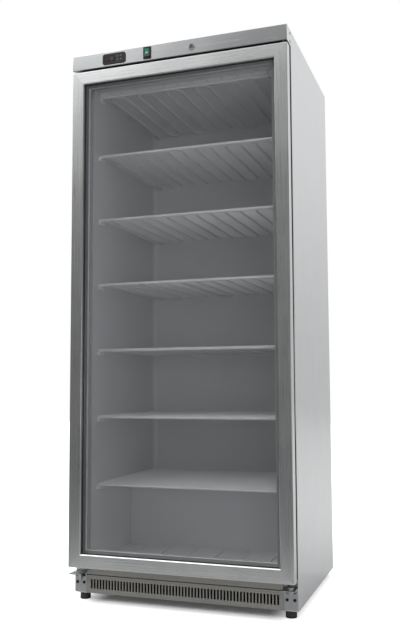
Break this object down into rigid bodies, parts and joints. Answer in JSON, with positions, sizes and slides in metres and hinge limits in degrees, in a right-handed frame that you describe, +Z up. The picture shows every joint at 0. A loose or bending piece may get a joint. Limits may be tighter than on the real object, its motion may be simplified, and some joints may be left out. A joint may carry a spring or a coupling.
{
  "type": "upright freezer",
  "caption": "Tall steel freezer with one framed glass door hinged on the right, fixed evaporator shelves, a control panel over the door and a machine compartment low at the rear.",
  "frame": {"origin": "on the floor under the middle of the cabinet", "axes": "+X to the right seen from the front, +Y to the rear, +Z up"},
  "size_m": [0.78, 0.6965, 1.895],
  "materials": {
    "brushed_steel_panel": "satin",
    "side_steel": "satin",
    "door_aluminium": "satin",
    "galvanised_steel": "satin",
    "white_liner": "satin",
    "foam": "matte",
    "glass": "gloss",
    "spacer_mill": "satin",
    "tape_black": "matte",
    "seal_black": "matte",
    "frame_plastic": "satin",
    "nylon": "matte",
    "zinc": "satin",
    "screw_black": "satin",
    "lock_chrome": "polished",
    "base_paint": "satin",
    "foot_black": "satin",
    "controller_black": "satin",
    "display_window": "gloss",
    "button_grey": "satin",
    "rocker_green": "gloss",
    "evaporator_white": "satin",
    "clip_white": "satin",
    "copper": "satin",
    "compressor_black": "satin",
    "mount_rubber": "matte",
    "terminal_plastic": "satin",
    "fin_aluminium": "satin",
    "shroud_steel": "satin",
    "fan_aluminium": "satin",
    "gland_nylon": "satin"
  },
  "bodies": {
    "root": {"control_panel": "brushed_steel_panel", "side_panel_left": "side_steel", "side_panel_right": "side_steel", "top_panel": "side_steel", "back_panel": "galvanised_steel", "base_pan": "galvanised_steel", "machine_cover": "galvanised_steel", "inner_liner": "white_liner", "cabinet_foam": "foam", "lower_hinge_pin": "zinc", "cover_screws": "zinc", "upper_hinge_bracket": "zinc", "lower_hinge_bracket": "zinc", "spare_hinge_bracket": "zinc", "bracket_screws": "screw_black", "lock_housing": "lock_chrome", "lower_front_rail": "base_paint", "front_grille": "base_paint", "rear_feet": "foot_black", "controller_housing": "controller_black", "switch_housing": "controller_black", "controller_window": "display_window", "evaporator_shelf_1": "evaporator_white", "evaporator_shelf_2": "evaporator_white", "evaporator_shelf_3": "evaporator_white", "evaporator_shelf_4": "evaporator_white", "evaporator_shelf_5": "evaporator_white", "evaporator_shelf_6": "evaporator_white", "ceiling_evaporator": "evaporator_white", "shelf_clips": "clip_white", "evaporator_risers": "copper", "filter_drier": "copper", "refrigerant_pipes": "copper", "compressor": "compressor_black", "compressor_mounts": "mount_rubber", "compressor_terminal_cover": "terminal_plastic", "condenser": "fin_aluminium", "fan_shroud": "shroud_steel", "fan_motor": "shroud_steel", "cord_gland": "gland_nylon"},
    "door": {"door_stile_left": "door_aluminium", "door_stile_right": "door_aluminium", "door_rail_top": "door_aluminium", "door_rail_bottom": "door_aluminium", "hinge_bushes": "nylon", "glazing_tape": "tape_black", "glass_outer": "glass", "glass_spacer": "spacer_mill", "glass_inner": "glass", "door_inner_frame": "frame_plastic", "door_seal": "seal_black"},
    "rocker": {"power_rocker": "rocker_green"},
    "lock": {"lock_barrel": "lock_chrome"},
    "fan": {"fan_blade": "fan_aluminium"},
    "button_1": {"controller_button_1": "button_grey"},
    "button_2": {"controller_button_2": "button_grey"},
    "button_3": {"controller_button_3": "button_grey"},
    "button_4": {"controller_button_4": "button_grey"},
    "foot_left": {"levelling_foot_front_left": "foot_black"},
    "foot_right": {"levelling_foot_front_right": "foot_black"}
  },
  "joints": [
    {"name": "door_hinge", "type": "hinge", "parent": "root", "child": "door", "pos_m": [0.372, -0.3235, 0.96], "axis": [0, 0, 1], "range_deg": [0, 120]},
    {"name": "rocker_tilt", "type": "hinge", "parent": "root", "child": "rocker", "pos_m": [-0.1015, -0.339, 1.8685], "axis": [1, 0, 0], "range_deg": [0, 14]},
    {"name": "lock_turn", "type": "hinge", "parent": "root", "child": "lock", "pos_m": [0.06, -0.3275, 1.8665], "axis": [0, 1, 0], "range_deg": [0, 90]},
    {"name": "fan_spin", "type": "hinge", "parent": "root", "child": "fan", "pos_m": [-0.2, 0.2, 0.1425], "axis": [0, 1, 0], "continuous": true},
    {"name": "button_1_press", "type": "slide", "parent": "root", "child": "button_1", "axis": [0, 1, 0], "range_m": [0, 0.0008], "stiffness_N_per_m": 600},
    {"name": "button_2_press", "type": "slide", "parent": "root", "child": "button_2", "axis": [0, 1, 0], "range_m": [0, 0.0008], "stiffness_N_per_m": 600},
    {"name": "button_3_press", "type": "slide", "parent": "root", "child": "button_3", "axis": [0, 1, 0], "range_m": [0, 0.0008], "stiffness_N_per_m": 600},
    {"name": "button_4_press", "type": "slide", "parent": "root", "child": "button_4", "axis": [0, 1, 0], "range_m": [0, 0.0008], "stiffness_N_per_m": 600},
    {"name": "foot_left_turn", "type": "hinge", "parent": "root", "child": "foot_left", "pos_m": [-0.3605, -0.2675, 0.01], "axis": [0, 0, 1], "continuous": true},
    {"name": "foot_right_turn", "type": "hinge", "parent": "root", "child": "foot_right", "pos_m": [0.3605, -0.2675, 0.01], "axis": [0, 0, 1], "continuous": true}
  ]
}
